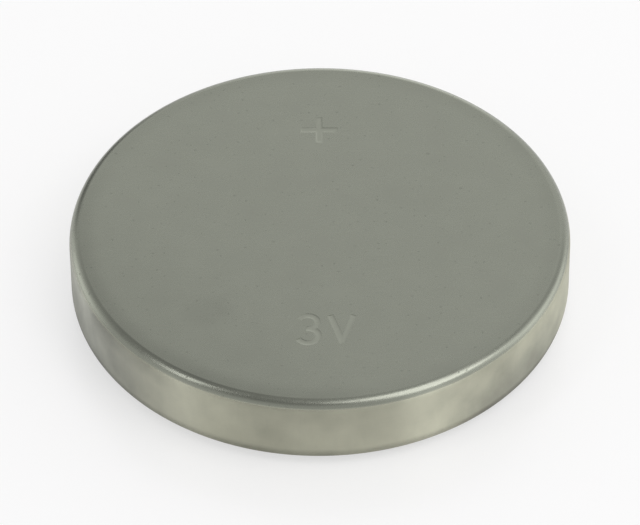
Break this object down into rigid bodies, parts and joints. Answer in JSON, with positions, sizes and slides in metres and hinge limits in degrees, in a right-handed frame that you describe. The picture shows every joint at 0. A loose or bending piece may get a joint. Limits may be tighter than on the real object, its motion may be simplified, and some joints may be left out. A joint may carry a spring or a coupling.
{
  "type": "lithium coin cell",
  "caption": "Flat round lithium primary cell: a drawn steel can is the positive pole, a raised steel cap the negative pole, and a crimped plastic gasket seals them.",
  "frame": {"origin": "centre of the flat negative face, which the cell lies on", "axes": "+Z along the cell's axis from the negative face to the positive face; +Y towards the plus sign stamped in the positive face"},
  "size_m": [0.02, 0.02, 0.0032],
  "materials": {
    "can_steel": "nickel-plated stainless steel, satin",
    "cap_steel": "nickel-plated stainless steel, satin",
    "gasket_plastic": "moulded polypropylene",
    "lithium_metal": "soft rolled lithium, dull",
    "separator_felt": "nonwoven polypropylene",
    "cathode_mix": "pressed powder, matt",
    "collector_steel": "expanded stainless steel"
  },
  "bodies": {
    "root": {"positive_can": "can_steel", "negative_cap": "cap_steel", "gasket": "gasket_plastic", "lithium_anode": "lithium_metal", "separator": "separator_felt", "cathode_pellet": "cathode_mix", "cathode_collector": "collector_steel"}
  },
  "joints": []
}
